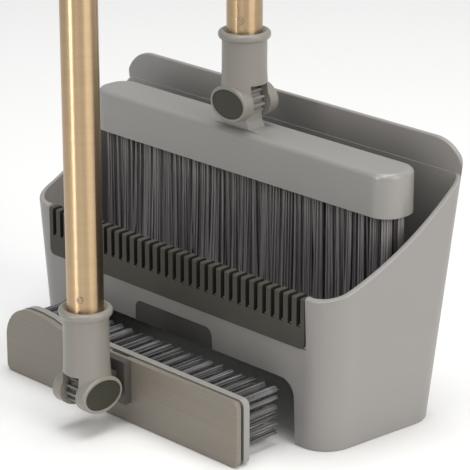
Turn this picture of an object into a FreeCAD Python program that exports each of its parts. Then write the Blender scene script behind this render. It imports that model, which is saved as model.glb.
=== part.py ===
import FreeCAD, Part
import math
import os
import Sketcher

# Dust pan and brush set: an upright dust pan with a rubber comb on its front lip, a broom
# that stands in its bin, and a stiff scrubbing brush that docks under its floor.
# Frame: millimetres, +Z up, the origin on the floor under the middle of the set, X along
# the pan's width, and -Y the side that the pan opens to.

doc = FreeCAD.newDocument("dust_pan_and_brush_set")
sheet = doc.addObject("Spreadsheet::Sheet", "sizes")
X, Y, Z = FreeCAD.Vector(1, 0, 0), FreeCAD.Vector(0, 1, 0), FreeCAD.Vector(0, 0, 1)
UPRIGHT = FreeCAD.Rotation()
QUARTER_TURN = FreeCAD.Rotation(Z, 90)

DRIVING_SIZES = [
    # Dust pan: a trapezium on the floor whose walls lean out towards the rim
    ("pan_front_half", 144.5), ("pan_back_half", 154), ("pan_front_y", -5.6),
    ("pan_depth", 109), ("pan_height", 198.5), ("pan_side_flare", 12.5),
    ("pan_back_side_flare", 14),
    ("pan_front_flare", 7), ("pan_back_flare", 2), ("pan_wall", 3.5),
    ("pan_front_corner", 22), ("pan_back_corner", 25), ("pan_top_corner", 6),
    ("pan_rim_corner", 28),
    ("bay_height", 46), ("pan_floor", 4), ("arch_half", 117), ("arch_corner", 12),
    ("rim_low", 109.5), ("rim_sweep", 222.3), ("rim_sweep_y", -64.5),
    ("rim_sweep_z", 324.2), ("rim_front_y", -6.9), ("rim_edge", 1.2), ("lip_height", 88),
    # Rubber comb over the front lip
    ("comb_half", 128.5), ("comb_bottom", 72.4), ("comb_top", 108), ("comb_seat", 1.4),
    ("comb_skin", 2.2), ("comb_reach", 10.4), ("comb_slot", 3.6), ("comb_pitch", 7.93),
    ("comb_corner", 5), ("comb_clearance", 0.3), ("comb_leg", 11),
    # Inlay above the arch
    ("inlay_half", 38.8), ("inlay_height", 15.4), ("inlay_thick", 2.2),
    ("inlay_sink", 1.8), ("inlay_corner", 6),
    # Broom head
    ("head_half", 147.5), ("head_front_y", 48.4), ("head_depth", 34.5),
    ("head_bottom", 152), ("head_top", 182.8), ("head_wall", 2.6), ("head_corner", 15),
    ("head_edge", 4), ("block_clearance", 0.2), ("block_rise", 2), ("bristle_inset", 2),
    ("bristle_clearance", 0.4), ("broom_y", 61.9), ("broom_pivot", 201.5),
    # Swivel joint, the same on both poles
    ("ear_half_width", 17.6), ("ear_half_height", 13), ("barrel_half", 16.5),
    ("gap_half", 8), ("ear_edge", 1.4), ("badge_rim_width", 2.2), ("badge_rim_height", 2.6),
    ("badge_recess", 2.6), ("badge_thick", 2), ("badge_clearance", 0.15), ("crotch", 14),
    ("pin_radius", 3), ("running_clearance", 0.05), ("knuckle_radius", 9.4),
    ("knuckle_side_gap", 0.3), ("rib_radius", 12.6), ("rib_thick", 1.7), ("ribs", 15),
    ("lug_half", 9.5), ("saddle_half", 24), ("saddle_rise", 0.9),
    # Sockets and poles
    ("socket_radius", 15.75), ("collar_radius", 18.3), ("collar_height", 6),
    ("collar_edge", 2.6), ("collar_funnel", 2.2), ("broom_socket_length", 50.5),
    ("scrub_socket_length", 60), ("socket_grip", 30), ("tube_radius", 12.5),
    ("tube_wall", 0.8), ("tube_length", 246), ("tube_clearance", 0.05),
    ("coupler_radius", 13.4), ("coupler_band", 9), ("coupler_wall", 2.2), ("spigot_length", 20),
    ("cap_radius", 13.4), ("cap_length", 30), ("hang_hole_radius", 4),
    ("button_radius", 2.2), ("button_rise", 9), ("button_proud", 1), ("button_length", 5),
    ("mark_angle", 33), ("rivet_radius", 1.7), ("rivet_proud", 0.5),
    # Scrubbing brush
    ("scrub_half", 118), ("scrub_front_y", -61.1), ("face_thick", 4), ("groove_thick", 2.6),
    ("frame_thick", 5.2), ("scrub_height", 46.5), ("crown_height", 51.5),
    ("crown_radius", 26), ("scrub_corner", 5), ("groove_sink", 1.4), ("tuft_reach", 35.5),
    ("tuft_margin", 4.5), ("tuft_floor", 5), ("tuft_corner", 9), ("scrub_pole_y", -87.1),
    ("scrub_pivot", 29),
    ("block_half", 12.5), ("block_depth", 6), ("block_offset", 3), ("slot_length", 19),
    ("slot_width", 4), ("slot_depth", 12),
]
for row, (alias, value) in enumerate(DRIVING_SIZES, start=1):
    cell = "A{}".format(row)
    sheet.set(cell, str(value))
    sheet.setAlias(cell, alias)
doc.recompute()

# Places that more than one piece shares
FLOOR_TOP = "(sizes.bay_height + sizes.pan_floor)"
PAN_BACK_Y = "(sizes.pan_front_y + sizes.pan_depth)"
LIP_FACE_Y = "(sizes.pan_front_y - sizes.pan_front_flare * sizes.lip_height / sizes.pan_height)"
LIP_SEAT_Y = "({} + sizes.comb_seat)".format(LIP_FACE_Y)
LIP_BACK_Y = "({} + sizes.pan_wall)".format(LIP_FACE_Y)
BAY_FACE_Y = "(sizes.pan_front_y - sizes.pan_front_flare * sizes.bay_height / sizes.pan_height)"
INLAY_SEAT_Y = "({} + sizes.inlay_sink)".format(BAY_FACE_Y)
GROOVE_Y = "(sizes.scrub_front_y + sizes.face_thick)"
FRAME_Y = "({} + sizes.groove_thick)".format(GROOVE_Y)
SCRUB_BACK_Y = "({} + sizes.frame_thick)".format(FRAME_Y)
FAR = 1500


def bind(item, values):
    """Bind properties of a document object to expressions."""
    for name, expression in values.items():
        item.setExpression(name, expression)
    return item


def place(item, x="0", y="0", z="0"):
    return bind(item, {"Placement.Base.x": x, "Placement.Base.y": y, "Placement.Base.z": z})


def turned(item, rotation):
    item.Placement = FreeCAD.Placement(FreeCAD.Vector(), rotation)
    return item


def box(name, x, y, z):
    """A box between two expressions on each axis."""
    item = doc.addObject("Part::Box", name)
    bind(item, {"Length": "({}) - ({})".format(x[1], x[0]),
                "Width": "({}) - ({})".format(y[1], y[0]),
                "Height": "({}) - ({})".format(z[1], z[0])})
    return place(item, x[0], y[0], z[0])


def wide_box(name, half, y, z):
    """A box centred on x = 0."""
    return box(name, ("-({})".format(half), half), y, z)


def rod(name, radius, length, x="0", y="0", z="0", along=Z):
    item = doc.addObject("Part::Cylinder", name)
    turned(item, FreeCAD.Rotation(Z, along))
    bind(item, {"Radius": radius, "Height": length})
    return place(item, x, y, z)


def oval_rod(name, half_width, half_height, near, far):
    """An oval bar along Y, wide in X and tall in Z."""
    outline = doc.addObject("Part::Ellipse", name + "_outline")
    turned(outline, FreeCAD.Rotation(X, 90))
    bind(outline, {"MajorRadius": half_width, "MinorRadius": half_height})
    place(outline, y=near)
    item = doc.addObject("Part::Extrusion", name)
    item.Base = outline
    item.DirMode = "Custom"
    item.Dir = Y
    item.Solid = True
    return bind(item, {"LengthFwd": "({}) - ({})".format(far, near)})


def cut(name, base, *tools):
    for count, tool in enumerate(tools, start=1):
        item = doc.addObject("Part::Cut", name if count == len(tools) else name + "_step")
        item.Base = base
        item.Tool = tool
        base = item
    return base


def fuse(name, *pieces):
    item = doc.addObject("Part::MultiFuse", name)
    item.Shapes = list(pieces)
    item.Refine = True
    return item


def common(name, first, second):
    item = doc.addObject("Part::Common", name)
    item.Base = first
    item.Tool = second
    return item


def rounded(name, base, alias, wanted):
    """Fillet the edges of a piece for which wanted(edge) is true."""
    doc.recompute()
    radius = sheet.get(alias)
    chosen = [index for index, edge in enumerate(base.Shape.Edges, start=1) if wanted(edge)]
    item = doc.addObject("Part::Fillet", name)
    item.Base = base
    item.Edges = [(index, radius, radius) for index in chosen]
    return item


def runs_along(edge, direction):
    ends = edge.Vertexes
    if len(ends) < 2:
        return False
    step = ends[-1].Point - ends[0].Point
    return step.Length > 1e-6 and abs(step.normalize().dot(direction)) > 0.97


def middle(edge):
    return edge.BoundBox.Center


def outline_sketch(body, name, plane, points, offset="0"):
    """A closed polygon whose corners are pairs of expressions, on a plane of the body."""
    sketch = body.newObject("Sketcher::SketchObject", name)
    origin = [part for part in body.Origin.OriginFeatures if part.Role == plane][0]
    sketch.AttachmentSupport = [(origin, "")]
    sketch.MapMode = "FlatFace"
    sketch.setExpression("AttachmentOffset.Base.z", offset)
    count = len(points)
    start = [FreeCAD.Vector(10, 0, 0)]
    for _ in range(count - 1):
        start.append(FreeCAD.Rotation(Z, 360.0 / count).multVec(start[-1]))
    for index in range(count):
        sketch.addGeometry(Part.LineSegment(start[index], start[(index + 1) % count]), False)
    for index in range(count):
        sketch.addConstraint(Sketcher.Constraint(
            "Coincident", index, 2, (index + 1) % count, 1))
    for index, corner in enumerate(points):
        for kind, expression, first in (("DistanceX", corner[0], start[index].x),
                                        ("DistanceY", corner[1], start[index].y)):
            number = sketch.addConstraint(Sketcher.Constraint(kind, -1, 1, index, 1, first))
            sketch.setExpression("Constraints[{}]".format(number), expression)
    return sketch


def rounded_outline(name, corners, height):
    """A level polygon with rounded corners, each given as (x, y, radius)."""
    edges = []
    count = len(corners)
    points = [FreeCAD.Vector(x, y, height) for x, y, _ in corners]
    ends = []
    for index, (_, _, radius) in enumerate(corners):
        corner = points[index]
        back = (points[index - 1] - corner).normalize()
        ahead = (points[(index + 1) % count] - corner).normalize()
        half_angle = back.getAngle(ahead) / 2
        run = radius / math.tan(half_angle)
        inward = (back + ahead).normalize()
        top = corner + inward * (radius / math.sin(half_angle) - radius)
        ends.append((corner + back * run, top, corner + ahead * run))
    for index in range(count):
        edges.append(Part.Arc(*ends[index]).toShape())
        edges.append(Part.LineSegment(ends[index][2], ends[(index + 1) % count][0]).toShape())
    item = doc.addObject("Part::Feature", name)
    item.Shape = Part.Wire(edges)
    return item


def frustum(name, sections):
    """A solid between two level outlines with rounded corners."""
    item = doc.addObject("Part::Loft", name)
    item.Sections = [rounded_outline("{}_outline_{}".format(name, count), corners, height)
                     for count, (corners, height) in enumerate(sections, start=1)]
    item.Solid = True
    item.Ruled = True
    return item


def prism(name, plane, points, length, midplane=True, offset="0"):
    """A padded polygon as its own body."""
    body = doc.addObject("PartDesign::Body", name)
    sketch = outline_sketch(body, name + "_outline", plane, points, offset)
    pad = body.newObject("PartDesign::Pad", name + "_pad")
    pad.Profile = sketch
    pad.Midplane = midplane
    pad.setExpression("Length", length)
    doc.recompute()
    return body


PIECES = []


def finished(item, label):
    """Name a piece of the set and keep it for the export."""
    item.Label = label
    PIECES.append(item)
    return item


# ---------------------------------------------------------------- dust pan shell
def leaning(height, wall):
    """The pan's trapezium at a height, brought in by a wall."""
    share = height / sheet.get("pan_height")
    front_y = sheet.get("pan_front_y") - sheet.get("pan_front_flare") * share + wall
    back_y = (sheet.get("pan_front_y") + sheet.get("pan_depth")
              + sheet.get("pan_back_flare") * share - wall)
    front = sheet.get("pan_front_half") + sheet.get("pan_side_flare") * share - wall
    back = sheet.get("pan_back_half") + sheet.get("pan_back_side_flare") * share - wall
    front_corner = sheet.get("pan_front_corner") - wall
    tightening = sheet.get("pan_back_corner") - sheet.get("pan_top_corner")
    back_corner = sheet.get("pan_back_corner") - tightening * share - wall
    return [(-front, front_y, front_corner), (front, front_y, front_corner),
            (back, back_y, back_corner), (-back, back_y, back_corner)], height


rim_height, shell_wall = sheet.get("pan_height"), sheet.get("pan_wall")
bay_top = sheet.get("bay_height")
pan_outside = frustum("pan_outside", [leaning(0, 0), leaning(rim_height, 0)])
bin_space = frustum("bin_space", [leaning(bay_top + sheet.get("pan_floor"), shell_wall),
                                  leaning(rim_height, shell_wall)])
bay_space = frustum("bay_space", [leaning(0, shell_wall), leaning(bay_top, shell_wall)])

# The rim falls from the back wall to the low front in one sweep of a large circle
sweep = rod("rim_sweep_round", "sizes.rim_sweep", str(2 * FAR), x=str(-FAR),
            y="sizes.rim_sweep_y", z="sizes.rim_sweep_z", along=X)
in_front_of_back = wide_box(
    "in_front_of_back", str(FAR),
    (str(-FAR), PAN_BACK_Y + " + sizes.pan_back_flare - sizes.pan_wall"), ("0", str(FAR)))
rim_sweep_space = common("rim_sweep_space", sweep, in_front_of_back)
rim_front_space = wide_box("rim_front_space", str(FAR), (str(-FAR), "sizes.rim_front_y"),
                           ("sizes.rim_low", str(FAR)))
rim_corner_spaces = []
for side, sign in (("left", "-"), ("right", "")):
    reach = "(sizes.pan_back_half + sizes.pan_back_side_flare)"
    inner = "{}({} - sizes.pan_rim_corner)".format(sign, reach)
    edges = ("-" + str(FAR), inner) if side == "left" else (inner, str(FAR))
    block = box("rim_block_" + side, edges, ("0", str(FAR)),
                ("sizes.pan_height - sizes.pan_rim_corner", str(FAR)))
    round_rod = rod("rim_round_" + side, "sizes.pan_rim_corner", str(2 * FAR), x=inner,
                    y=str(-FAR), z="sizes.pan_height - sizes.pan_rim_corner", along=Y)
    rim_corner_spaces.append(cut("rim_corner_space_" + side, block, round_rod))

COMB_SPACE = "sizes.comb_half + sizes.comb_clearance"
lip_space = wide_box("lip_space", COMB_SPACE, (str(-FAR), LIP_BACK_Y + " + 6"),
                     ("sizes.lip_height", str(FAR)))
comb_seat_space = wide_box("comb_seat_space", COMB_SPACE, (str(-FAR), LIP_SEAT_Y),
                           ("sizes.comb_bottom - sizes.comb_clearance", str(FAR)))
arch_block = wide_box("arch_block", "sizes.arch_half", (str(-FAR), "2"),
                      ("-30", "sizes.bay_height"))
arch_space = rounded("arch_space", arch_block, "arch_corner",
                     lambda edge: runs_along(edge, Y) and middle(edge).z > 0)
inlay_top = "sizes.bay_height + sizes.inlay_height"
inlay_block = wide_box("inlay_block", "sizes.inlay_half", (str(-FAR), INLAY_SEAT_Y),
                       ("sizes.bay_height - 3", inlay_top))
inlay_space = rounded("inlay_space", inlay_block, "inlay_corner",
                      lambda edge: runs_along(edge, Y) and middle(edge).z > 50)
pan_sharp = cut("pan_shell_cut", pan_outside, bin_space, bay_space, rim_sweep_space,
                rim_front_space, rim_corner_spaces[0], rim_corner_spaces[1], lip_space,
                comb_seat_space, arch_space, inlay_space)


def on_rim(edge):
    """The outer edges of the rim, and both edges of the back wall's top."""
    span = edge.BoundBox
    if span.ZMin < sheet.get("rim_low") - 0.1:
        return False
    along_top = span.ZMin > rim_height - 0.1 and span.XLength > 100
    round_top = span.YLength < 0.01 and span.ZLength > 10
    outside = (sheet.get("pan_back_half")
               + sheet.get("pan_back_side_flare") * span.ZMax / rim_height)
    reach = max(abs(span.XMin), abs(span.XMax))
    outer = span.YLength > 0.5 and reach > outside - 0.75 * shell_wall
    return along_top or round_top or outer


finished(rounded("pan_rim_rounded", pan_sharp, "rim_edge", on_rim), "pan_shell")

# ---------------------------------------------------------------- inlay above the arch
inlay_plate = wide_box(
    "inlay_plate", "sizes.inlay_half - 0.15",
    (INLAY_SEAT_Y + " - sizes.inlay_thick", INLAY_SEAT_Y),
    ("sizes.bay_height + 0.1", inlay_top + " - 0.15"))
finished(rounded("inlay", inlay_plate, "inlay_corner",
                 lambda edge: runs_along(edge, Y) and middle(edge).z > 55), "dock_inlay")

# ---------------------------------------------------------------- rubber comb
COMB_FACE_Y = "({} - sizes.comb_skin)".format(LIP_SEAT_Y)
COMB_BACK_Y = "({} + sizes.comb_reach)".format(COMB_FACE_Y)
LEG_Y = "({} + 0.9)".format(LIP_BACK_Y)
comb_section = [
    (COMB_FACE_Y, "sizes.comb_bottom"),
    (LIP_SEAT_Y, "sizes.comb_bottom"),
    (LIP_SEAT_Y, "sizes.lip_height"),
    (LEG_Y, "sizes.lip_height"),
    (LEG_Y, "sizes.lip_height - sizes.comb_leg"),
    (LEG_Y + " + 1.6", "sizes.lip_height - sizes.comb_leg"),
    (LEG_Y + " + 1.6", "sizes.lip_height + 4"),
    (COMB_BACK_Y + " - 1.8", "sizes.lip_height + 8"),
    (COMB_BACK_Y, "sizes.comb_top - 6"),
    (COMB_BACK_Y, "sizes.comb_top - 2"),
    (COMB_BACK_Y + " - 2", "sizes.comb_top"),
    (COMB_FACE_Y + " + 0.8", "sizes.comb_top"),
    (COMB_FACE_Y, "sizes.comb_top - 0.8"),
]
comb = prism("comb", "YZ_Plane", comb_section, "2 * sizes.comb_half")
slot_corners = [
    ("-sizes.comb_slot / 2 - 15.5 * sizes.comb_pitch", "sizes.lip_height - 0.5"),
    ("sizes.comb_slot / 2 - 15.5 * sizes.comb_pitch", "sizes.lip_height - 0.5"),
    ("sizes.comb_slot / 2 - 15.5 * sizes.comb_pitch", "sizes.comb_top + 5"),
    ("-sizes.comb_slot / 2 - 15.5 * sizes.comb_pitch", "sizes.comb_top + 5"),
]
slot_sketch = outline_sketch(comb, "comb_slot_outline", "XZ_Plane", slot_corners)
slot = comb.newObject("PartDesign::Pocket", "comb_slot_pocket")
slot.Profile = slot_sketch
slot.Type = "Length"
slot.Midplane = True
slot.Length = FAR
doc.recompute()
row = comb.newObject("PartDesign::LinearPattern", "comb_slots")
row.Originals = [slot]
row.Direction = (slot_sketch, ["H_Axis"])
row.setExpression("Length", "31 * sizes.comb_pitch")
row.Occurrences = 32
comb.Tip = row
doc.recompute()
finished(rounded("comb_rounded", comb, "comb_corner",
                 lambda edge: runs_along(edge, Y) and abs(middle(edge).x) > 120
                 and middle(edge).z < 73), "pan_comb")


# ---------------------------------------------------------------- broom head
def bar(name, inset, low, high, top_edge=None):
    """A bar with rounded ends, brought in by an inset from the head's outline."""
    raw = wide_box(name + "_raw", "sizes.head_half - {}".format(inset),
                   ("sizes.head_front_y + {}".format(inset),
                    "sizes.head_front_y + sizes.head_depth - {}".format(inset)), (low, high))
    doc.recompute()
    body = doc.addObject("Part::Fillet", name)
    radius = sheet.get("head_corner") - raw.Placement.Base.y + sheet.get("head_front_y")
    body.Base = raw
    body.Edges = [(index, radius, radius) for index, edge in enumerate(raw.Shape.Edges, 1)
                  if runs_along(edge, Z)]
    if top_edge is None:
        return body
    doc.recompute()
    top = body.Shape.BoundBox.ZMax
    return rounded(name + "_edged", body, top_edge,
                   lambda edge: edge.BoundBox.ZMin > top - 0.01)


head_outside = bar("head_outside", "0", "sizes.head_bottom", "sizes.head_top", "head_edge")
head_inside = bar("head_inside", "sizes.head_wall", "sizes.head_bottom - 5",
                  "sizes.head_top - sizes.head_wall")
finished(cut("broom_cover_cut", head_outside, head_inside), "broom_cover")

BLOCK_INSET = "(sizes.head_wall + sizes.block_clearance)"
BLOCK_BOTTOM = "(sizes.head_bottom + sizes.block_rise)"
finished(bar("broom_block_bar", BLOCK_INSET, BLOCK_BOTTOM,
             "sizes.head_top - sizes.head_wall"), "broom_block")
finished(bar("broom_bristles_bar", "(sizes.head_wall + sizes.bristle_inset)",
             FLOOR_TOP + " + sizes.bristle_clearance", BLOCK_BOTTOM), "broom_bristles")


# ---------------------------------------------------------------- swivel joints and poles
# Each joint is drawn about its own pin: the pin along Y and the pole along +Z. The ribbed
# knuckle belongs to the head, and the fork with its two oval ears to the pole.
KNUCKLE_HALF = "(sizes.gap_half - sizes.knuckle_side_gap)"
PIN_BORE = "sizes.pin_radius + sizes.running_clearance"


def knuckle_pieces(prefix):
    """The drum between the ears and its ribs, which run along the pin."""
    pieces = [rod(prefix + "_drum", "sizes.knuckle_radius", "2 * " + KNUCKLE_HALF,
                  y="-" + KNUCKLE_HALF, along=Y)]
    count = int(sheet.get("ribs"))
    for index in range(count):
        turn = 360.0 * index / count
        rib = box("{}_rib_{}".format(prefix, index + 1), ("0", "sizes.rib_thick"),
                  ("0", "2 * " + KNUCKLE_HALF),
                  ("sizes.knuckle_radius - 1", "sizes.rib_radius"))
        turned(rib, FreeCAD.Rotation(Y, turn))
        across, up = math.cos(math.radians(turn)), math.sin(math.radians(turn))
        place(rib, x="{:.6f} * (sizes.knuckle_radius - 1) - {:.6f} * sizes.rib_thick / 2"
              .format(up, across), y="-" + KNUCKLE_HALF,
              z="{:.6f} * (sizes.knuckle_radius - 1) + {:.6f} * sizes.rib_thick / 2"
              .format(across, up))
        pieces.append(rib)
    return pieces


def pin_bore(prefix):
    return rod(prefix + "_bore", "sizes.pin_radius + sizes.running_clearance",
               "6 * sizes.barrel_half", y="-3 * sizes.barrel_half", along=Y)


def stand(item, joint):
    """Carry a piece drawn about its pin to its joint."""
    turned(item, joint["turn"])
    return place(item, y=joint["y"], z=joint["z"])


def swivel_fork(prefix, joint):
    """Socket for the pole, ending below in a fork with two oval ears."""
    length = joint["socket"]
    barrel = rod(prefix + "_barrel", "sizes.socket_radius", length + " - sizes.crotch",
                 z="sizes.crotch")
    low = doc.addObject("Part::Ellipse", prefix + "_flare_low")
    bind(low, {"MajorRadius": "sizes.ear_half_width - 0.3",
               "MinorRadius": "sizes.barrel_half - 0.3"})
    place(low, z="3")
    high = doc.addObject("Part::Ellipse", prefix + "_flare_high")
    bind(high, {"MajorRadius": "sizes.socket_radius", "MinorRadius": "sizes.socket_radius"})
    place(high, z="sizes.crotch + 9")
    flare = doc.addObject("Part::Loft", prefix + "_flare")
    flare.Sections = [low, high]
    flare.Solid = True
    flare.Ruled = True
    ring = rod(prefix + "_ring", "sizes.collar_radius", "sizes.collar_height",
               z=length + " - sizes.collar_height")
    collar = rounded(prefix + "_collar", ring, "collar_edge",
                     lambda edge: edge.BoundBox.ZLength < 0.01)
    ears = []
    for side, near, far in (("front", "-sizes.barrel_half", "-sizes.gap_half"),
                            ("back", "sizes.gap_half", "sizes.barrel_half")):
        oval = oval_rod("{}_ear_{}_raw".format(prefix, side), "sizes.ear_half_width",
                        "sizes.ear_half_height", near, far)
        ears.append(rounded("{}_ear_{}".format(prefix, side), oval, "ear_edge",
                            lambda edge: edge.BoundBox.YLength < 0.01
                            and abs(middle(edge).y) > sheet.get("gap_half") + 1))
    whole = fuse(prefix + "_whole", barrel, flare, collar, ears[0], ears[1])
    gap = box(prefix + "_gap", ("-40", "40"), ("-sizes.gap_half", "sizes.gap_half"),
              ("-40", "sizes.crotch"))
    bore = rod(prefix + "_grip", "sizes.tube_radius + sizes.tube_clearance", str(FAR),
               z=length + " - sizes.socket_grip")
    funnel = doc.addObject("Part::Cone", prefix + "_funnel")
    bind(funnel, {"Radius1": "sizes.tube_radius + sizes.tube_clearance",
                  "Radius2": "sizes.collar_radius - sizes.collar_edge - 0.4",
                  "Height": "sizes.collar_funnel + 0.1"})
    place(funnel, z=length + " - sizes.collar_funnel")
    recesses = []
    for side, near, far in (
            ("front", "-sizes.barrel_half - 5", "-sizes.barrel_half + sizes.badge_recess"),
            ("back", "sizes.barrel_half - sizes.badge_recess", "sizes.barrel_half + 5")):
        recesses.append(oval_rod("{}_recess_{}".format(prefix, side),
                                 "sizes.ear_half_width - sizes.badge_rim_width",
                                 "sizes.ear_half_height - sizes.badge_rim_height", near, far))
    fork = cut(prefix + "_fork", whole, gap, bore, funnel, recesses[0], recesses[1],
               pin_bore(prefix + "_fork"))
    finished(stand(fork, joint), prefix + "_socket")


def badges(prefix, joint):
    """The dark oval covers let into the ears."""
    floor = "(sizes.barrel_half - sizes.badge_recess)"
    for side, near, far in (("front", "-{} - sizes.badge_thick".format(floor), "-" + floor),
                            ("back", floor, floor + " + sizes.badge_thick")):
        badge = oval_rod("{}_badge_{}".format(prefix, side),
                         "sizes.ear_half_width - sizes.badge_rim_width - sizes.badge_clearance",
                         "sizes.ear_half_height - sizes.badge_rim_height"
                         " - sizes.badge_clearance", near, far)
        finished(stand(badge, joint), "{}_badge_{}".format(prefix, side))


def pivot_pin(prefix, joint):
    pin = rod(prefix + "_pin_rod", "sizes.pin_radius",
              "2 * (sizes.barrel_half - sizes.badge_recess) - 0.2",
              y="0.1 - sizes.barrel_half + sizes.badge_recess", along=Y)
    moved = {"Placement.Base.x": "0", "Placement.Base.y": joint["y"],
             "Placement.Base.z": joint["z"]}
    if joint["turn"].Angle > 0:
        turned(pin, joint["turn"].multiply(FreeCAD.Rotation(Z, Y)))
        moved["Placement.Base.x"] = "sizes.barrel_half - sizes.badge_recess - 0.1"
    else:
        moved["Placement.Base.y"] = joint["y"] + " + 0.1 - sizes.barrel_half" \
            " + sizes.badge_recess"
    finished(bind(pin, moved), prefix + "_pin")


def pole(prefix, joint):
    """Three tubes with couplers between them, an end cap, and the catch by the collar."""
    length = joint["socket"]
    bottom = "({} + {} - sizes.socket_grip)".format(joint["z"], length)
    collar_top = "({} + {})".format(joint["z"], length)
    inner = "(sizes.tube_radius - sizes.tube_wall)"
    mark = math.radians(sheet.get("mark_angle"))
    outward = FreeCAD.Vector(math.sin(mark), -math.cos(mark), 0)
    start = bottom
    for index, section in enumerate(("lower", "middle", "upper")):
        outside = rod("{}_{}_outside".format(prefix, section), "sizes.tube_radius",
                      "sizes.tube_length", y=joint["y"], z=start)
        inside = rod("{}_{}_inside".format(prefix, section), inner, str(2 * FAR),
                     y=joint["y"], z="-1")
        tools = [inside]
        if section == "lower":
            tools.append(rod(prefix + "_catch_hole",
                             "sizes.button_radius + sizes.running_clearance", "40",
                             y=joint["y"], z=collar_top + " + sizes.button_rise",
                             along=outward))
            tools.append(rod(prefix + "_rivet_hole", "sizes.rivet_radius", "40",
                             y=joint["y"], z=collar_top, along=outward))
        finished(cut("{}_{}_tube".format(prefix, section), outside, *tools),
                 "{}_tube_{}".format(prefix, section))
        end = "({} + sizes.tube_length)".format(start)
        if section == "upper":
            top = end
            break
        band = rod("{}_{}_band".format(prefix, section), "sizes.coupler_radius",
                   "sizes.coupler_band", y=joint["y"], z=end)
        spigot = rod("{}_{}_spigot".format(prefix, section),
                     inner + " - sizes.tube_clearance",
                     "sizes.coupler_band + 2 * sizes.spigot_length", y=joint["y"],
                     z=end + " - sizes.spigot_length")
        soft_band = rounded("{}_{}_soft_band".format(prefix, section), band, "ear_edge",
                            lambda edge: edge.BoundBox.ZLength < 0.01)
        hollow = rod("{}_{}_hollow".format(prefix, section), inner + " - sizes.coupler_wall",
                     str(2 * FAR), y=joint["y"], z="-1")
        finished(cut("{}_{}_coupler".format(prefix, section),
                     fuse("{}_{}_coupler_whole".format(prefix, section), soft_band, spigot),
                     hollow), "{}_coupler_{}".format(prefix, section))
        start = "({} + sizes.coupler_band)".format(end)
    # End cap: a plug in the tube, a round-ended grip and a cross hole to hang it by
    plug = rod(prefix + "_cap_plug", inner + " - sizes.tube_clearance",
               "sizes.spigot_length + 2", y=joint["y"], z=top + " - sizes.spigot_length")
    grip = rod(prefix + "_cap_grip", "sizes.cap_radius",
               "sizes.cap_length - sizes.cap_radius", y=joint["y"], z=top)
    dome = doc.addObject("Part::Sphere", prefix + "_cap_dome")
    bind(dome, {"Radius": "sizes.cap_radius"})
    place(dome, y=joint["y"], z=top + " + sizes.cap_length - sizes.cap_radius")
    hang_hole = rod(prefix + "_hang_hole", "sizes.hang_hole_radius", "80", x="-40",
                    y=joint["y"], z=top + " + sizes.cap_length - sizes.cap_radius", along=X)
    finished(cut(prefix + "_cap", fuse(prefix + "_cap_whole", plug, grip, dome), hang_hole),
             prefix + "_end_cap")
    # Catch button that springs out through the tube, and the rivet at the collar
    reach = "(sizes.tube_radius + sizes.button_proud - sizes.button_length)"
    stem = rod(prefix + "_button_stem", "sizes.button_radius", "sizes.button_length",
               x="{} * {:.6f}".format(reach, outward.x),
               y="{} + {} * {:.6f}".format(joint["y"], reach, outward.y),
               z=collar_top + " + sizes.button_rise", along=outward)
    finished(rounded(prefix + "_button_rounded", stem, "rivet_proud",
                     lambda edge: (middle(edge) - stem.Shape.BoundBox.Center).dot(outward)
                     > 1), prefix + "_button")
    rivet_reach = "(sizes.tube_radius - sizes.tube_wall - 1)"
    rivet = rod(prefix + "_rivet_rod", "sizes.rivet_radius",
                "1 + sizes.tube_wall + sizes.rivet_proud",
                x="{} * {:.6f}".format(rivet_reach, outward.x),
                y="{} + {} * {:.6f}".format(joint["y"], rivet_reach, outward.y),
                z=collar_top, along=outward)
    finished(rivet, prefix + "_rivet")


BROOM_JOINT = {"y": "sizes.broom_y", "z": "sizes.broom_pivot", "turn": UPRIGHT,
               "socket": "sizes.broom_socket_length"}
SCRUB_JOINT = {"y": "sizes.scrub_pole_y", "z": "sizes.scrub_pivot", "turn": QUARTER_TURN,
               "socket": "sizes.scrub_socket_length"}

# Broom knuckle: the ribbed drum on a lug that spreads into a low saddle on the head
DROP = "(sizes.broom_pivot - sizes.head_top)"
broom_lug = box("broom_lug", ("-sizes.lug_half", "sizes.lug_half"),
                ("-" + KNUCKLE_HALF, KNUCKLE_HALF), ("-" + DROP, "0"))
saddle_section = [
    ("-sizes.saddle_half", "-" + DROP),
    ("sizes.saddle_half", "-" + DROP),
    ("sizes.lug_half + 3", "sizes.saddle_rise - " + DROP),
    ("sizes.lug_half", "sizes.saddle_rise + 5 - " + DROP),
    ("-sizes.lug_half", "sizes.saddle_rise + 5 - " + DROP),
    ("-sizes.lug_half - 3", "sizes.saddle_rise - " + DROP),
]
broom_saddle = prism("broom_saddle", "XZ_Plane", saddle_section, "2 * " + KNUCKLE_HALF)
broom_knuckle = cut("broom_knuckle_cut",
                    fuse("broom_knuckle_whole", broom_lug, broom_saddle,
                         *knuckle_pieces("broom")), pin_bore("broom_knuckle"))
finished(stand(broom_knuckle, BROOM_JOINT), "broom_knuckle")
swivel_fork("broom", BROOM_JOINT)
badges("broom", BROOM_JOINT)
pivot_pin("broom", BROOM_JOINT)
pole("broom", BROOM_JOINT)

# ---------------------------------------------------------------- scrubbing brush head
def plate_corners(inset):
    """The plate seen from the front: a crown at its left end, plain at its right."""
    left, right = "-sizes.scrub_half + {}".format(inset), "sizes.scrub_half - {}".format(inset)
    top, crown = "sizes.scrub_height - {}".format(inset), "sizes.crown_height - {}".format(inset)
    return [(left, inset), (right, inset), (right, top),
            ("-sizes.scrub_half + 62", top), ("-sizes.scrub_half + 46", crown + " - 1.2"),
            ("-sizes.scrub_half + 34", crown), (left, crown)]


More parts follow.
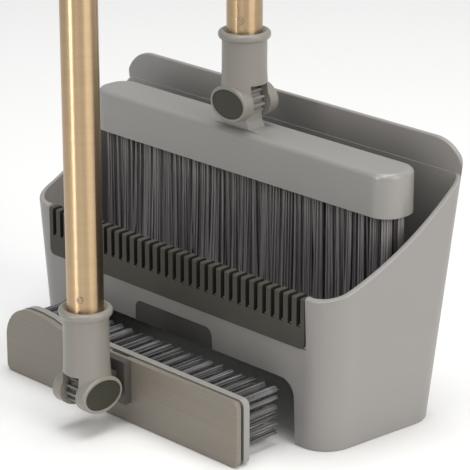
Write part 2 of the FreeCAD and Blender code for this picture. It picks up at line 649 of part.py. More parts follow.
def plate(name, inset, near, far):
    slab = prism(name + "_slab", "XZ_Plane", plate_corners(inset), "({}) - ({})"
                 .format(far, near), midplane=False, offset="-({})".format(far))
    small = rounded(name + "_small", slab, "scrub_corner",
                    lambda edge: runs_along(edge, Y) and middle(edge).x > 100
                    or runs_along(edge, Y) and middle(edge).x < -100 and middle(edge).z < 20)
    return rounded(name, small, "crown_radius",
                   lambda edge: runs_along(edge, Y) and middle(edge).x < -110
                   and middle(edge).z > 40)


def slot_space(name):
    """The narrow slot that opens through the top of the plate behind the pole."""
    return wide_box(name, "sizes.slot_length / 2", (FRAME_Y + " - sizes.slot_width", FRAME_Y),
                    ("sizes.scrub_height - sizes.slot_depth", str(FAR)))


face = plate("scrub_face_plate", "0", "sizes.scrub_front_y", GROOVE_Y)
finished(cut("scrub_face_slotted", face, slot_space("face_slot")), "scrub_face")
core = plate("scrub_core_plate", "sizes.groove_sink", GROOVE_Y, FRAME_Y)
finished(cut("scrub_core_slotted", core, slot_space("core_slot")), "scrub_core")
finished(plate("scrub_frame_plate", "0", FRAME_Y, SCRUB_BACK_Y), "scrub_frame")
tuft_block = wide_box("scrub_tuft_block", "sizes.scrub_half - sizes.tuft_margin",
                      (SCRUB_BACK_Y, SCRUB_BACK_Y + " + sizes.tuft_reach"),
                      ("sizes.tuft_floor", "sizes.scrub_height - 2.5"))
finished(rounded("scrub_tufts_rounded", tuft_block, "tuft_corner",
                 lambda edge: runs_along(edge, Y) and middle(edge).z > 30), "scrub_tufts")

# Scrub knuckle: the ribbed drum on an arm from a block on the plate's face
# (drawn about its pin, so the arm runs along +X here and towards the plate once turned)
ARM_REACH = "(sizes.scrub_front_y - sizes.scrub_pole_y)"
BLOCK_FACE = "({} - sizes.block_depth)".format(ARM_REACH)
arm = box("scrub_arm", ("0", ARM_REACH), ("-" + KNUCKLE_HALF, KNUCKLE_HALF),
          ("-sizes.lug_half", "sizes.lug_half"))
block_top = "(sizes.scrub_height - sizes.scrub_pivot)"
mount_block = box("scrub_mount_block", (BLOCK_FACE, ARM_REACH),
                  ("-sizes.block_half - sizes.block_offset",
                   "sizes.block_half - sizes.block_offset"),
                  ("-sizes.lug_half - 4", block_top))
scrub_knuckle = cut("scrub_knuckle_cut",
                    fuse("scrub_knuckle_whole", arm, mount_block, *knuckle_pieces("scrub")),
                    pin_bore("scrub_knuckle"))
finished(stand(scrub_knuckle, SCRUB_JOINT), "scrub_knuckle")
swivel_fork("scrub", SCRUB_JOINT)
badges("scrub", SCRUB_JOINT)
pivot_pin("scrub", SCRUB_JOINT)
pole("scrub", SCRUB_JOINT)

# ---------------------------------------------------------------- check and export
doc.recompute()
for item in doc.Objects:
    faults = [state for state in item.State if state in ("Invalid", "Error")]
    if faults:
        raise RuntimeError("{} ({}): {}".format(item.Name, item.Label, faults))
for item in PIECES:
    if item.Shape.isNull() or not item.Shape.isValid():
        raise RuntimeError("{} has no valid shape".format(item.Label))
os.makedirs("parts", exist_ok=True)
for item in PIECES:
    item.Shape.exportStep("parts/{}.step".format(item.Label))
    centre = item.Shape.BoundBox
    print("{:22s} {:9.1f} mm3  {} solid".format(
        item.Label, item.Shape.Volume, len(item.Shape.Solids)),
        [round(value, 1) for value in (centre.XMin, centre.XMax, centre.YMin, centre.YMax,
                                       centre.ZMin, centre.ZMax)])
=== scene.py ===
import math

import bpy
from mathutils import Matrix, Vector


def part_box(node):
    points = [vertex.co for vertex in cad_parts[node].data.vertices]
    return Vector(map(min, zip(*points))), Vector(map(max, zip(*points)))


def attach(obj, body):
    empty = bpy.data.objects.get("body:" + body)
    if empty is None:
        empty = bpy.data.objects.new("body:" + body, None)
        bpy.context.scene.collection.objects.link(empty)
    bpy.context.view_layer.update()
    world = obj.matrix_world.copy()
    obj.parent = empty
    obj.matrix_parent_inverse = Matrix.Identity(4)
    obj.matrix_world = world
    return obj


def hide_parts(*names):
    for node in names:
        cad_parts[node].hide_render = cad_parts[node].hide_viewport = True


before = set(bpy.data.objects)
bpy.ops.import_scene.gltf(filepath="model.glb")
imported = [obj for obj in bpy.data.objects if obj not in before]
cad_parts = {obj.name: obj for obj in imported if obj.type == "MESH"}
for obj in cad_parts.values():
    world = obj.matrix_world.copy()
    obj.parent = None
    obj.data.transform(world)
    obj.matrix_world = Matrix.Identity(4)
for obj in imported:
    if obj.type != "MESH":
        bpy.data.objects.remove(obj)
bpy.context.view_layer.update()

# ---------------------------------------------------------------- dust pan shell
# One injection-moulded polypropylene shell: a leaning trapezium with a raised floor and a
# bay below it. The skin is satin, with a very fine spark-eroded grain and faint cloudiness
# where the warm grey pigment settled.


def add(tree, kind, feeds=None, **settings):
    """Make a node, set it up, and feed its sockets with links or plain values."""
    node = tree.nodes.new(kind)
    for key, value in settings.items():
        setattr(node, key, value)
    for key, value in (feeds or {}).items():
        if isinstance(value, bpy.types.NodeSocket):
            tree.links.new(value, node.inputs[key])
        else:
            node.inputs[key].default_value = value
    return node


def effect(name, inputs, outputs):
    """An empty shader node group with named sockets."""
    tree = bpy.data.node_groups.new(name, "ShaderNodeTree")
    for label, kind, value in inputs:
        socket = tree.interface.new_socket(label, in_out="INPUT", socket_type=kind)
        socket.default_value = value
    for label in outputs:
        tree.interface.new_socket(label, in_out="OUTPUT", socket_type="NodeSocketFloat")
    return tree, tree.nodes.new("NodeGroupInput").outputs, tree.nodes.new("NodeGroupOutput")


def place_effect(material, tree, **values):
    """Put an effect in a material with its own values."""
    group = add(material.node_tree, "ShaderNodeGroup", node_tree=tree)
    for label, value in values.items():
        group.inputs[label.replace("_", " ")].default_value = value
    return group.outputs


grain, given, result = effect(
    "moulded_grain", [("Grain Size", "NodeSocketFloat", 1500.0),
                      ("Cloud Size", "NodeSocketFloat", 9.0)], ["Cloud", "Grain"])
where = add(grain, "ShaderNodeTexCoord").outputs["Object"]
speckle = add(grain, "ShaderNodeTexNoise", {"Vector": where, "Scale": given["Grain Size"],
                                            "Detail": 1.0, "Roughness": 0.5})
cloud = add(grain, "ShaderNodeTexNoise", {"Vector": where, "Scale": given["Cloud Size"],
                                          "Detail": 3.0, "Roughness": 0.55})
grain.links.new(cloud.outputs["Fac"], result.inputs["Cloud"])
grain.links.new(speckle.outputs["Fac"], result.inputs["Grain"])


def finish(name, **constants):
    """A material with its Principled shader, whose plain numbers are set on the shader."""
    material = bpy.data.materials.new(name)
    material.use_nodes = True
    shader = material.node_tree.nodes["Principled BSDF"]
    for label, value in constants.items():
        shader.inputs[label.replace("_", " ")].default_value = value
    return material, shader.inputs


def between(material, mask, first, second):
    """A colour that goes from the first to the second as the mask rises."""
    mix = add(material.node_tree, "ShaderNodeMix", {"Factor": mask}, data_type="RGBA")
    mix.inputs[6].default_value = (*first, 1)
    mix.inputs[7].default_value = (*second, 1)
    return mix.outputs[2]


def ramp(material, mask, low, high, start=0.0, end=1.0):
    """A number that goes from start to end as the mask goes from low to high."""
    return add(material.node_tree, "ShaderNodeMapRange", {
        "Value": mask, "From Min": low, "From Max": high, "To Min": start,
        "To Max": end}).outputs["Result"]


def join(material, value, socket):
    """Link a value to one of the shader's sockets."""
    material.node_tree.links.new(value, socket)


def raise_skin(material, shader, height, depth):
    """Feed a height to the shader's normal through a bump."""
    bump = add(material.node_tree, "ShaderNodeBump", {"Height": height, "Distance": depth})
    join(material, bump.outputs["Normal"], shader["Normal"])


CLOUD_LOW, CLOUD_HIGH, ROUGH_DRIFT = 0.1, 0.9, 0.05


def moulded_plastic(name, dark, light, rough, grain_size=1500.0, depth=0.00006, gloss=0.5):
    """Satin moulded plastic whose colour drifts a little between two greys."""
    material, shader = finish(name, Specular_IOR_Level=gloss)
    masks = place_effect(material, grain, Grain_Size=grain_size)
    tone = ramp(material, masks["Cloud"], CLOUD_LOW, CLOUD_HIGH)
    join(material, between(material, tone, dark, light), shader["Base Color"])
    join(material, ramp(material, masks["Cloud"], CLOUD_LOW, CLOUD_HIGH,
                        rough - ROUGH_DRIFT, rough + ROUGH_DRIFT), shader["Roughness"])
    raise_skin(material, shader, masks["Grain"], depth)
    return material


def coat(material, *nodes):
    """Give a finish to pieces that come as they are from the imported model."""
    for name in nodes:
        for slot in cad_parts[name].material_slots:
            slot.material = material


coat(moulded_plastic("pan_plastic", dark=(0.300, 0.286, 0.274), light=(0.325, 0.311, 0.299),
                     rough=0.42), "pan_shell")

# ---------------------------------------------------------------- rubber comb
# A strip of dark olive thermoplastic rubber pressed over the pan's front lip. Its standing
# teeth scrape hair off the bristles. The rubber is matt; the slots' sides are painted darker
# as painted shade in the narrow slots.
def endwise(material):
    """How squarely a face looks along the piece's length, from 0 to 1."""
    normal = add(material.node_tree, "ShaderNodeTexCoord").outputs["Normal"]
    along = add(material.node_tree, "ShaderNodeSeparateXYZ", {0: normal}).outputs[0]
    return add(material.node_tree, "ShaderNodeMath", {0: along},
               operation="ABSOLUTE").outputs[0]


def dimmed(material, colour, strength):
    """A colour times a number."""
    return add(material.node_tree, "ShaderNodeVectorMath", {0: colour, "Scale": strength},
               operation="SCALE").outputs[0]


RUBBER_DARK, RUBBER_LIGHT = (0.052, 0.048, 0.036), (0.070, 0.065, 0.050)
SLOT_PAINTED_SHADE_STRENGTH = 0.35
comb_rubber, comb_shader = finish("comb_rubber", Specular_IOR_Level=0.35)
comb_masks = place_effect(comb_rubber, grain, Grain_Size=700.0, Cloud_Size=40.0)
comb_tone = between(comb_rubber, ramp(comb_rubber, comb_masks["Cloud"], 0.35, 0.7),
                    RUBBER_DARK, RUBBER_LIGHT)
# The slots' sides are painted darker: painted shade in the narrow slots between the teeth.
painted_slot_shade = ramp(comb_rubber, endwise(comb_rubber), 0.4, 0.9, 1.0, SLOT_PAINTED_SHADE_STRENGTH)
join(comb_rubber, dimmed(comb_rubber, comb_tone, painted_slot_shade), comb_shader["Base Color"])
join(comb_rubber, ramp(comb_rubber, comb_masks["Cloud"], 0.3, 0.7, 0.62, 0.78),
     comb_shader["Roughness"])
raise_skin(comb_rubber, comb_shader, comb_masks["Grain"], 0.0001)
coat(comb_rubber, "pan_comb")

# ---------------------------------------------------------------- inlay above the arch
# A small near-black plate let into the front above the arch, where the scrubbing brush's
# pole rests. It is moulded with a coarser, duller grain than the shell.
coat(moulded_plastic("inlay_plastic", dark=(0.036, 0.035, 0.030), light=(0.050, 0.048, 0.042),
                     rough=0.6, grain_size=900.0, depth=0.00012), "dock_inlay")

# ---------------------------------------------------------------- broom head
# A grey cover like an upturned tray with rounded ends, over a dark block that is drilled
# for the tufts. The cover is polished a little more than the pan and shows soft highlights.
head_plastic = moulded_plastic("head_plastic", dark=(0.300, 0.290, 0.275),
                               light=(0.328, 0.318, 0.303), rough=0.335, depth=0.00002,
                               gloss=0.6)
coat(head_plastic, "broom_cover", "broom_knuckle")
coat(moulded_plastic("block_plastic", dark=(0.045, 0.044, 0.044), light=(0.06, 0.058, 0.058),
                     rough=0.55), "broom_block")

# ---------------------------------------------------------------- broom bristles
# Folded bundles of crimped polyester filament, stapled into the block in four staggered
# rows. Each bundle spreads towards its tip, so the rows close up lower down.
STRAND_SIDES, STRAND_STEPS, TIP_SHARE = 5, 5, 0.62
THINNEST, GIRTH_RANGE = 0.8, 0.4
STRAY_SHARE, BEND_POWER = 0.6, 1.4
STRAND_SHADE, TUFT_SHADE = 0.65, 0.35


def tuft_maker():
    """Geometry nodes that set out tufts of filament on a level plane, tips upwards."""
    tree = bpy.data.node_groups.new("filament_tufts", "GeometryNodeTree")
    for label, kind, value in (
            ("Columns", "NodeSocketInt", 28), ("Rows", "NodeSocketInt", 4),
            ("Strands", "NodeSocketInt", 20), ("Column Pitch", "NodeSocketFloat", 0.01),
            ("Row Pitch", "NodeSocketFloat", 0.006), ("Stagger", "NodeSocketFloat", 0.0),
            ("Tuft Radius", "NodeSocketFloat", 0.0023),
            ("Strand Radius", "NodeSocketFloat", 0.0005),
            ("Length", "NodeSocketFloat", 0.1), ("Uneven", "NodeSocketFloat", 0.03),
            ("Spread", "NodeSocketFloat", 0.5), ("Wander", "NodeSocketFloat", 0.001),
            ("Reach X", "NodeSocketFloat", 0.14), ("Reach Y", "NodeSocketFloat", 0.012),
            ("Place", "NodeSocketVector", (0, 0, 0)), ("Turn", "NodeSocketVector", (0, 0, 0)),
            ("Seed", "NodeSocketInt", 0), ("Finish", "NodeSocketMaterial", None)):
        socket = tree.interface.new_socket(label, in_out="INPUT", socket_type=kind)
        if value is not None:
            socket.default_value = value
    tree.interface.new_socket("Tufts", in_out="OUTPUT", socket_type="NodeSocketGeometry")
    size = tree.nodes.new("NodeGroupInput").outputs

    def calc(operation, *values):
        return add(tree, "ShaderNodeMath", dict(enumerate(values)),
                   operation=operation).outputs[0]

    def vector(x=0.0, y=0.0, z=0.0):
        return add(tree, "ShaderNodeCombineXYZ", {0: x, 1: y, 2: z}).outputs[0]

    def combine(operation, first, second):
        return add(tree, "ShaderNodeVectorMath", {0: first, 1: second},
                   operation=operation).outputs[0]

    def scaled(value, factor):
        return add(tree, "ShaderNodeVectorMath", {0: value, "Scale": factor},
                   operation="SCALE").outputs[0]

    def chance(number, offset, low, high):
        """Three random numbers for each whole number."""
        node = add(tree, "FunctionNodeRandomValue", data_type="FLOAT_VECTOR")
        node.inputs[0].default_value = (low,) * 3
        node.inputs[1].default_value = (high,) * 3
        tree.links.new(number, node.inputs["ID"])
        tree.links.new(calc("ADD", size["Seed"], offset), node.inputs["Seed"])
        return node.outputs[0]

    def parts(value):
        return add(tree, "ShaderNodeSeparateXYZ", {0: value}).outputs

    # Which tuft a strand is in, and where that tuft stands
    index = tree.nodes.new("GeometryNodeInputIndex").outputs[0]
    tuft = calc("FLOOR", calc("DIVIDE", calc("ADD", index, 0.5), size["Strands"]))
    column = calc("FLOOR", calc("DIVIDE", calc("ADD", tuft, 0.5), size["Rows"]))
    row = calc("SUBTRACT", tuft, calc("MULTIPLY", column, size["Rows"]))
    odd = calc("SUBTRACT", calc("MODULO", row, 2.0), 0.5)
    half_columns = calc("MULTIPLY", calc("SUBTRACT", size["Columns"], 1.0), 0.5)
    half_rows = calc("MULTIPLY", calc("SUBTRACT", size["Rows"], 1.0), 0.5)
    tuft_x = calc("MULTIPLY", size["Column Pitch"], calc(
        "ADD", calc("SUBTRACT", column, half_columns), calc("MULTIPLY", odd, size["Stagger"])))
    tuft_y = calc("MULTIPLY", size["Row Pitch"], calc("SUBTRACT", row, half_rows))

    # Where the strand stands in its tuft, and how its tip leans
    luck = parts(chance(index, 0, 0.0, 1.0))
    out = calc("MULTIPLY", size["Tuft Radius"], calc("SQRT", luck[0]))
    turn = calc("MULTIPLY", luck[1], 2 * math.pi)
    offset = vector(calc("MULTIPLY", out, calc("COSINE", turn)),
                    calc("MULTIPLY", out, calc("SINE", turn)))
    shares = combine("ADD", scaled(chance(tuft, 1, -1.0, 1.0), size["Wander"]),
                     scaled(chance(index, 2, -STRAY_SHARE, STRAY_SHARE), size["Wander"]))
    lean = combine("MULTIPLY", combine("ADD", scaled(offset, size["Spread"]), shares),
                   (1.0, 1.0, 0.0))
    root = combine("ADD", vector(tuft_x, tuft_y), offset)
    points = add(tree, "GeometryNodePoints", {
        "Count": calc("MULTIPLY", size["Strands"],
                      calc("MULTIPLY", size["Columns"], size["Rows"])), "Position": root})
    points = add(tree, "GeometryNodeStoreNamedAttribute", {
        "Geometry": points.outputs[0], "Name": "lean", "Value": lean},
        data_type="FLOAT_VECTOR")
    shade = calc("ADD", calc("MULTIPLY", luck[2], STRAND_SHADE),
                 calc("MULTIPLY", parts(chance(tuft, 3, 0.0, 1.0))[0], TUFT_SHADE))
    points = add(tree, "GeometryNodeStoreNamedAttribute", {
        "Geometry": points.outputs[0], "Name": "shade", "Value": shade}, data_type="FLOAT")

    # One strand, tapered a little, repeated and then bent along its length
    strand = add(tree, "GeometryNodeMeshCone", {
        "Vertices": STRAND_SIDES, "Side Segments": STRAND_STEPS,
        "Radius Top": calc("MULTIPLY", size["Strand Radius"], TIP_SHARE),
        "Radius Bottom": size["Strand Radius"], "Depth": size["Length"]})
    girth = calc("ADD", THINNEST, calc("MULTIPLY", luck[1], GIRTH_RANGE))
    tall = calc("SUBTRACT", 1.0, calc("MULTIPLY", luck[2], size["Uneven"]))
    copies = add(tree, "GeometryNodeInstanceOnPoints", {
        "Points": points.outputs[0], "Instance": strand.outputs["Mesh"],
        "Scale": vector(girth, girth, tall)})
    plain = add(tree, "GeometryNodeRealizeInstances", {"Geometry": copies.outputs[0]})
    spot = parts(tree.nodes.new("GeometryNodeInputPosition").outputs[0])
    along = calc("DIVIDE", spot[2], size["Length"])
    marked = add(tree, "GeometryNodeStoreNamedAttribute", {
        "Geometry": plain.outputs[0], "Name": "along", "Value": along}, data_type="FLOAT")
    kept_lean = add(tree, "GeometryNodeInputNamedAttribute", {"Name": "lean"},
                    data_type="FLOAT_VECTOR").outputs[0]
    bent = combine("ADD", tree.nodes.new("GeometryNodeInputPosition").outputs[0],
                   scaled(kept_lean, calc("POWER", calc("MAXIMUM", along, 0.0), BEND_POWER)))
    limit = vector(size["Reach X"], size["Reach Y"], size["Length"])
    floor_limit = vector(calc("MULTIPLY", size["Reach X"], -1.0),
                         calc("MULTIPLY", size["Reach Y"], -1.0), 0.0)
    bent = combine("MAXIMUM", combine("MINIMUM", bent, limit), floor_limit)
    shaped = add(tree, "GeometryNodeSetPosition", {"Geometry": marked.outputs[0],
                                                   "Position": bent})
    placed = add(tree, "GeometryNodeTransform", {
        "Geometry": shaped.outputs[0], "Translation": size["Place"],
        "Rotation": size["Turn"]})
    finished = add(tree, "GeometryNodeSetMaterial", {"Geometry": placed.outputs[0],
                                                     "Material": size["Finish"]})
    last = tree.nodes.new("NodeGroupOutput")
    tree.links.new(finished.outputs[0], last.inputs[0])
    return tree


filament_tufts = tuft_maker()


def grow(name, tree, **sizes):
    """Run geometry nodes once and keep the outcome as a plain mesh."""
    piece = bpy.data.objects.new(name, bpy.data.meshes.new(name))
    bpy.context.scene.collection.objects.link(piece)
    modifier = piece.modifiers.new("grow", "NODES")
    modifier.node_group = tree
    sockets = {item.name: item.identifier for item in tree.interface.items_tree
               if item.in_out == "INPUT"}
    for label, value in sizes.items():
        modifier[sockets[label.replace("_", " ")]] = value
    view = bpy.context.evaluated_depsgraph_get()
    mesh = bpy.data.meshes.new_from_object(piece.evaluated_get(view))
    piece.modifiers.clear()
    piece.data = mesh
    mesh.name = name
    mesh.shade_smooth()
    return piece


def filament(name, root, tip, shades, rough, stretch):
    """Drawn filament, finely lined: each strand its own shade, changing from root to tip."""
    material, shader = finish(name, Specular_IOR_Level=0.45)
    tree = material.node_tree
    along = add(tree, "ShaderNodeAttribute", attribute_name="along").outputs["Fac"]
    shade = add(tree, "ShaderNodeAttribute", attribute_name="shade").outputs["Fac"]
    drawn = add(tree, "ShaderNodeVectorMath", {
        0: add(tree, "ShaderNodeTexCoord").outputs["Object"], 1: stretch},
        operation="MULTIPLY").outputs[0]
    lines = add(tree, "ShaderNodeTexNoise", {"Vector": drawn, "Scale": 1.0,
                                             "Detail": 1.0}).outputs["Fac"]
    strength = add(tree, "ShaderNodeMath", {
        0: ramp(material, shade, 0.0, 1.0, *shades),
        1: ramp(material, lines, 0.3, 0.7, 0.7, 1.3)}, operation="MULTIPLY").outputs[0]
    length = between(material, ramp(material, along, 0.05, 0.8), root, tip)
    join(material, dimmed(material, length, strength), shader["Base Color"])
    join(material, ramp(material, shade, 0.0, 1.0, rough - 0.08, rough + 0.08),
         shader["Roughness"])
    return material


bristle_low, bristle_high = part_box("broom_bristles")
bristle_size = bristle_high - bristle_low
bristles = grow(
    "bristle_tufts", filament_tufts, Columns=28, Rows=4, Strands=30, Column_Pitch=0.0101,
    Row_Pitch=0.0056, Stagger=0.5, Tuft_Radius=0.0034, Strand_Radius=0.00088,
    Length=bristle_size.z, Uneven=0.03, Spread=0.4, Wander=0.0024,
    Reach_X=bristle_size.x / 2, Reach_Y=bristle_size.y / 2,
    Place=((bristle_low.x + bristle_high.x) / 2, (bristle_low.y + bristle_high.y) / 2,
           bristle_high.z), Turn=(math.pi, 0.0, 0.0), Seed=11,
    Finish=filament("bristle_filament", root=(0.235, 0.219, 0.220), tip=(0.320, 0.303, 0.322),
                    shades=(0.7, 1.25), rough=0.38, stretch=(1400.0, 1400.0, 12.0)))
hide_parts("broom_bristles")
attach(bristles, "broom_head")

# ---------------------------------------------------------------- swivel joints
# Each pole ends in a grey socket whose two oval ears hold a ribbed drum. Dark olive covers
# are pressed into the ears over the ends of the steel pin. The scrubbing brush's drum is
# grey; the block that carries it on the plate is painted darker, as painted shade where the
# recess beside the ear falls in shadow.
coat(moulded_plastic("socket_plastic", dark=(0.270, 0.252, 0.224), light=(0.298, 0.280, 0.250),
                     rough=0.34, depth=0.00004), "broom_socket", "scrub_socket")

DRUM_BACK, BLOCK_FRONT = -0.0770, -0.0740
joint_plastic, joint_shader = finish("joint_plastic", Roughness=0.42)
depth_in = add(joint_plastic.node_tree, "ShaderNodeSeparateXYZ", {
    0: add(joint_plastic.node_tree, "ShaderNodeTexCoord").outputs["Object"]}).outputs[1]
# Colour goes from the grey drum to a dark block: the block's darkness is painted shade of the
# recess beside the ear.
join(joint_plastic, between(
    joint_plastic, ramp(joint_plastic, depth_in, DRUM_BACK, BLOCK_FRONT),
    (0.230, 0.220, 0.200), (0.085, 0.080, 0.072)), joint_shader["Base Color"])
joint_masks = place_effect(joint_plastic, grain, Grain_Size=900.0)
raise_skin(joint_plastic, joint_shader, joint_masks["Grain"], 0.00006)
coat(joint_plastic, "scrub_knuckle")

coat(moulded_plastic("badge_plastic", dark=(0.042, 0.041, 0.029), light=(0.052, 0.051, 0.037),
                     rough=0.46, grain_size=900.0, depth=0.00008, gloss=0.3),
     "broom_badge_front", "broom_badge_back", "scrub_badge_front", "scrub_badge_back")

# ---------------------------------------------------------------- poles
# Three drawn steel tubes to a pole, ground round and round and lacquered champagne, so that
# highlights run along them. Grey couplers join them, and a cap has a hole to hang them by.
brushed, given, result = effect(
    "brushed_lines", [("Stretch", "NodeSocketVector", (900.0, 900.0, 6.0))],
    ["Line", "Band"])
where = add(brushed, "ShaderNodeTexCoord").outputs["Object"]
stretched = add(brushed, "ShaderNodeVectorMath", {0: where, 1: given["Stretch"]},
                operation="MULTIPLY").outputs[0]
fine = add(brushed, "ShaderNodeTexNoise", {"Vector": stretched, "Scale": 1.0,
                                           "Detail": 2.0, "Roughness": 0.6})
broad = add(brushed, "ShaderNodeTexNoise", {"Vector": stretched, "Scale": 0.13,
                                            "Detail": 2.0, "Roughness": 0.5})
brushed.links.new(fine.outputs["Fac"], result.inputs["Line"])
brushed.links.new(broad.outputs["Fac"], result.inputs["Band"])
QUARTER_TURN = 0.25


def brushed_metal(name, dark, light, rough, stretch, depth, drawn_out=0.0):
    """Ground metal under lacquer; drawn_out stretches its highlights along a tube."""
    material, shader = finish(name, Metallic=1.0, Anisotropic=drawn_out,
                              Anisotropic_Rotation=QUARTER_TURN if drawn_out else 0.0)
    if drawn_out:
        round_tube = add(material.node_tree, "ShaderNodeTangent", direction_type="RADIAL",
                         axis="Z")
        join(material, round_tube.outputs[0], shader["Tangent"])
    masks = place_effect(material, brushed, Stretch=stretch)
    join(material, between(material, ramp(material, masks["Band"], 0.3, 0.7), dark, light),
         shader["Base Color"])
    join(material, ramp(material, masks["Line"], 0.3, 0.7, rough - 0.03, rough + 0.03),
         shader["Roughness"])
    raise_skin(material, shader, masks["Line"], depth)
    return material


def on_both(*parts):
    """The names of these parts on the broom and on the scrubbing brush."""
    return [f"{tool}_{part}" for tool in ("broom", "scrub") for part in parts]


coat(brushed_metal("champagne_steel", dark=(0.49, 0.355, 0.215), light=(0.515, 0.375, 0.232),
                   rough=0.33, stretch=(40.0, 40.0, 2600.0), depth=0.0000006, drawn_out=0.9),
     *on_both("tube_lower", "tube_middle", "tube_upper"))
coat(moulded_plastic("coupler_plastic", dark=(0.27, 0.25, 0.23), light=(0.30, 0.28, 0.26),
                     rough=0.38), *on_both("coupler_lower", "coupler_middle", "end_cap"))
coat(brushed_metal("plain_steel", dark=(0.34, 0.27, 0.18), light=(0.40, 0.32, 0.22), rough=0.3,
                   stretch=(700.0, 700.0, 700.0), depth=0.00001),
     *on_both("button", "rivet", "pin"))

# ---------------------------------------------------------------- scrubbing brush head
# A moulded face plate with a brushed look running along it, a sunk core that shows as a
# groove round the edge, and a grey frame that holds the tufts. The core's end faces are
# painted near-black as painted shade where the groove is seen end-on as a deep slot.
FACE_DARK, FACE_LIGHT = (0.218, 0.192, 0.157), (0.256, 0.227, 0.188)
face_plastic, face_shader = finish("face_plastic", Specular_IOR_Level=0.5)
face_masks = place_effect(face_plastic, brushed, Stretch=(14.0, 500.0, 900.0))
join(face_plastic, between(face_plastic, ramp(face_plastic, face_masks["Line"], 0.25, 0.75),
                           FACE_DARK, FACE_LIGHT), face_shader["Base Color"])
join(face_plastic, ramp(face_plastic, face_masks["Line"], 0.3, 0.7, 0.34, 0.46),
     face_shader["Roughness"])
raise_skin(face_plastic, face_shader, face_masks["Line"], 0.00005)
coat(face_plastic, "scrub_face")

CORE_GREY, END_SLOT_PAINTED_SHADE = (0.22, 0.21, 0.19), (0.024, 0.022, 0.020)
core_plastic, core_shader = finish("core_plastic", Roughness=0.5)
core_masks = place_effect(core_plastic, grain, Grain_Size=900.0)
# Faces that look along the plate are painted near-black: painted shade in the deep end slot.
join(core_plastic, between(core_plastic, ramp(core_plastic, endwise(core_plastic), 0.6, 0.9),
                           CORE_GREY, END_SLOT_PAINTED_SHADE), core_shader["Base Color"])
raise_skin(core_plastic, core_shader, core_masks["Grain"], 0.00006)
coat(core_plastic, "scrub_core")
coat(head_plastic, "scrub_frame")

# ---------------------------------------------------------------- scrubbing tufts
# Short stiff bundles of thick nylon, set in six straight rows into the back of the plate
# and cut nearly level. Little light reaches their roots, and that shade is painted into the
# filament's colour, darker at the root than at the tip.
tuft_low, tuft_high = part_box("scrub_tufts")
tuft_size = tuft_high - tuft_low
tufts = grow(
    "scrub_tuft_rows", filament_tufts, Columns=22, Rows=6, Strands=25, Column_Pitch=0.0102,
    Row_Pitch=0.0062, Stagger=0.0, Tuft_Radius=0.0020, Strand_Radius=0.00056,
    Length=tuft_size.y, Uneven=0.05, Spread=0.12, Wander=0.0002,
    Reach_X=tuft_size.x / 2, Reach_Y=tuft_size.z / 2,
    Place=((tuft_low.x + tuft_high.x) / 2, tuft_low.y, (tuft_low.z + tuft_high.z) / 2),
    Turn=(-math.pi / 2, 0.0, 0.0), Seed=23,
    # The darker root colour is painted shade where little light reaches the tufts' roots.
    Finish=filament("tuft_filament", root=(0.085, 0.085, 0.088), tip=(0.20, 0.20, 0.204),
                    shades=(0.6, 1.4), rough=0.38, stretch=(1400.0, 20.0, 1400.0)))
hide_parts("scrub_tufts")
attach(tufts, "scrub_head")

# ---------------------------------------------------------------- floor
# A plain pale floor, wide enough to fill the view, a hair below the pan so that the two
# don't share a plane.
FLOOR_HALF, FLOOR_DROP = 12.0, -0.0003
floor_mesh = bpy.data.meshes.new("floor")
floor_mesh.from_pydata(
    [(x, y, FLOOR_DROP) for x, y in ((-FLOOR_HALF, -FLOOR_HALF), (FLOOR_HALF, -FLOOR_HALF),
                                     (FLOOR_HALF, FLOOR_HALF), (-FLOOR_HALF, FLOOR_HALF))],
    [], [(0, 1, 2, 3)])
floor = bpy.data.objects.new("floor", floor_mesh)
bpy.context.scene.collection.objects.link(floor)
floor_mesh.materials.append(finish("pale_floor", Base_Color=(0.93, 0.93, 0.925, 1),
                                   Roughness=0.8)[0])

# ---------------------------------------------------------------- light
# Soft studio light: a dim pale room, a wide warm panel on the right, one above and a small
# one in front. Two tall strips and a small lamp only add highlights to poles and edges.
ROOM_TINT, ROOM_STRENGTH = (0.97, 0.99, 1.0, 1), 0.36
WHITE, CREAM, WARM = (1.0, 1.0, 1.0), (1.0, 0.98, 0.95), (1.0, 0.95, 0.89)
world = bpy.data.worlds.new("studio")
bpy.context.scene.world = world
world.use_nodes = True
room = world.node_tree.nodes["Background"].inputs
room["Color"].default_value, room["Strength"].default_value = ROOM_TINT, ROOM_STRENGTH


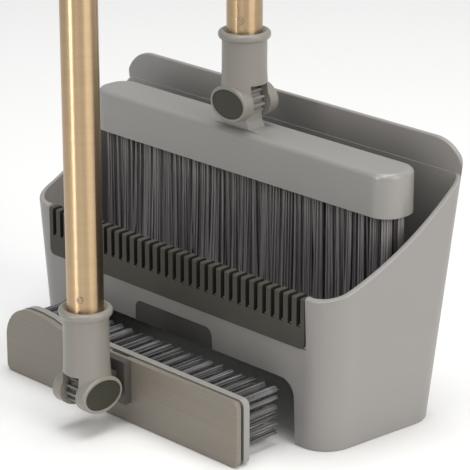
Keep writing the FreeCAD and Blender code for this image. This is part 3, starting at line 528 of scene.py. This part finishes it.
def panel(name, place, aim, size, power, tint, highlights_only=False):
    """A soft rectangular lamp that looks from its place to its aim."""
    lamp = bpy.data.lights.new(name, "AREA")
    lamp.shape = "RECTANGLE"
    lamp.size, lamp.size_y = size
    lamp.energy, lamp.color = power, tint
    holder = bpy.data.objects.new(name, lamp)
    bpy.context.scene.collection.objects.link(holder)
    holder.location = place
    holder.rotation_euler = (Vector(aim) - Vector(place)).to_track_quat("-Z", "Y").to_euler()
    holder.visible_camera = False
    holder.visible_diffuse = not highlights_only


LOW_AIM, STRIP_MIDDLE = (0, 0, 0.15), (0, 0, 0.72)
panel("right_panel", (2.3, 0.1, 1.3), LOW_AIM, size=(1.4, 1.6), power=28.0, tint=WARM)
panel("top_panel", (0.1, 0.1, 2.6), LOW_AIM, size=(1.8, 1.8), power=50.0, tint=WHITE)
panel("front_panel", (-1.0, -2.3, 1.2), LOW_AIM, size=(0.7, 1.6), power=5.0, tint=CREAM)
panel("left_strip", (-0.08, -1.35, 0.72), STRIP_MIDDLE, size=(0.34, 1.4), power=12.0,
      tint=CREAM, highlights_only=True)
panel("right_strip", (1.25, 0.42, 0.72), STRIP_MIDDLE, size=(0.16, 1.4), power=1.2,
      tint=CREAM, highlights_only=True)
panel("glint", (0.5, -1.0, 1.7), (0, 0, 0.2), size=(0.3, 0.3), power=10.0, tint=WHITE,
      highlights_only=True)

# ---------------------------------------------------------------- camera
# A long lens looking down on the set's right front corner.
AZIMUTH, ELEVATION, DISTANCE = math.radians(45.66), math.radians(19.96), 1.6336
FOCAL_LENGTH = 184.5
aim = Vector((0.04277, 0.0109, 0.1258))
lens = bpy.data.cameras.new("camera")
lens.lens = FOCAL_LENGTH
camera = bpy.data.objects.new("camera", lens)
bpy.context.scene.collection.objects.link(camera)
camera.location = aim + DISTANCE * Vector((math.cos(ELEVATION) * math.sin(AZIMUTH),
                                           -math.cos(ELEVATION) * math.cos(AZIMUTH),
                                           math.sin(ELEVATION)))
camera.rotation_euler = (aim - camera.location).to_track_quat("-Z", "Y").to_euler()
bpy.context.scene.camera = camera
bpy.context.scene.view_settings.view_transform = "Standard"
